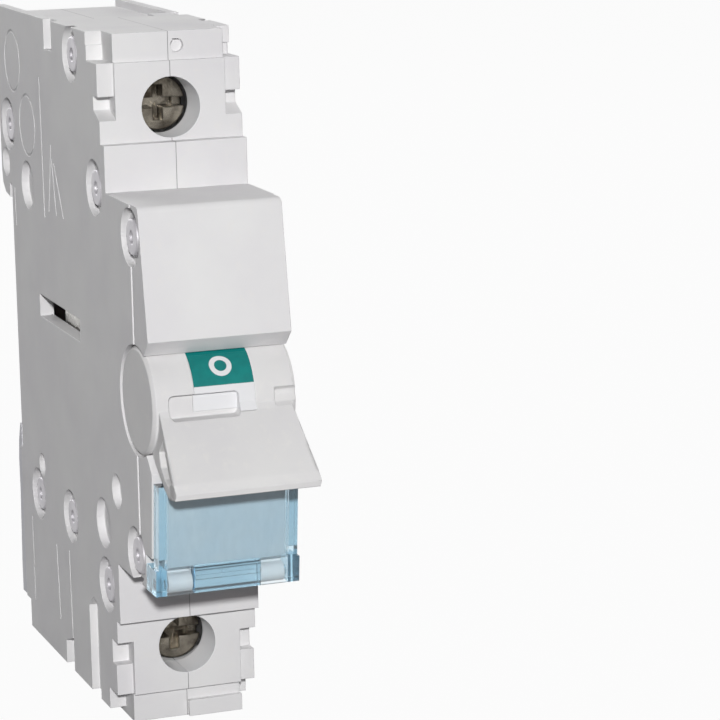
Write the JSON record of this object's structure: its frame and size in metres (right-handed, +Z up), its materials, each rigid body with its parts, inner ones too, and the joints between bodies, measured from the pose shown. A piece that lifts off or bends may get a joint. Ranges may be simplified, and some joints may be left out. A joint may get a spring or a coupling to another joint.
{
  "type": "din rail switch disconnector",
  "caption": "Modular switch disconnector that clips on a 35 mm rail, with a front toggle, screw cage terminals and a hinged label cover.",
  "frame": {"origin": "centre of the rail seat: the rear face that lies on the rail, at mid width and on the rail's centreline", "axes": "+X to the right seen from the front, +Y rearward out of the rail seat, +Z up"},
  "size_m": [0.0176, 0.075, 0.0838],
  "materials": {
    "shell_plastic": "satin",
    "toggle_plastic": "satin",
    "marker_green": "satin",
    "carrier_plastic": "satin",
    "steel": "satin",
    "plated_steel": "polished",
    "copper": "satin",
    "silver": "satin",
    "spring_steel": "satin",
    "clip_plastic": "satin",
    "clear_plastic": "glossy",
    "card": "matte"
  },
  "bodies": {
    "case": {"housing_left": "shell_plastic", "housing_right": "shell_plastic", "rivets": "plated_steel", "upper_contact_bar": "copper", "lower_contact_bar": "copper", "upper_fixed_contact": "silver", "lower_fixed_contact": "silver", "rail_clip_spring": "spring_steel"},
    "toggle": {"toggle": "toggle_plastic", "toggle_insert": "marker_green", "drive_pin": "steel"},
    "carrier": {"contact_carrier": "carrier_plastic", "contact_stirrup": "plated_steel", "contact_bridge": "copper", "moving_contacts": "silver", "contact_spring": "spring_steel"},
    "clip": {"rail_clip": "clip_plastic"},
    "label": {"label_cover": "clear_plastic", "label_card": "card"},
    "upper_screw": {"upper_screw": "steel"},
    "lower_screw": {"lower_screw": "steel"},
    "upper_cage": {"upper_cage": "plated_steel"},
    "lower_cage": {"lower_cage": "plated_steel"}
  },
  "joints": [
    {"name": "toggle_turn", "type": "hinge", "parent": "case", "child": "toggle", "pos_m": [0, -0.0554, -0.0004], "axis": [-1, 0, 0], "range_deg": [0, 60]},
    {"name": "carrier_slide", "type": "slide", "parent": "case", "child": "carrier", "axis": [0, 1, 0], "range_m": [0, 0.00655]},
    {"name": "clip_slide", "type": "slide", "parent": "case", "child": "clip", "axis": [0, 0, -1], "range_m": [0, 0.005], "stiffness_N_per_m": 1500, "springref_m": -0.002, "deforming": ["rail_clip_spring"]},
    {"name": "label_hinge", "type": "hinge", "parent": "case", "child": "label", "pos_m": [0, -0.0593, -0.02125], "axis": [1, 0, 0], "range_deg": [0, 90]},
    {"name": "upper_screw_turn", "type": "hinge", "parent": "case", "child": "upper_screw", "pos_m": [0, -0.0384, 0.03185], "axis": [0, -1, 0], "range_deg": [0, 2520]},
    {"name": "upper_cage_slide", "type": "slide", "parent": "case", "child": "upper_cage", "axis": [0, 1, 0], "range_m": [0, 0.0056]},
    {"name": "lower_screw_turn", "type": "hinge", "parent": "case", "child": "lower_screw", "pos_m": [0, -0.0384, -0.0338], "axis": [0, -1, 0], "range_deg": [0, 2520]},
    {"name": "lower_cage_slide", "type": "slide", "parent": "case", "child": "lower_cage", "axis": [0, 1, 0], "range_m": [0, 0.0056]}
  ],
  "couplings": [
    {"joint": "toggle_turn", "follows": "carrier_slide", "rad_per_m": 159.8},
    {"joint": "upper_screw_turn", "follows": "upper_cage_slide", "rad_per_m": 7853.9},
    {"joint": "lower_screw_turn", "follows": "lower_cage_slide", "rad_per_m": 7853.9}
  ]
}
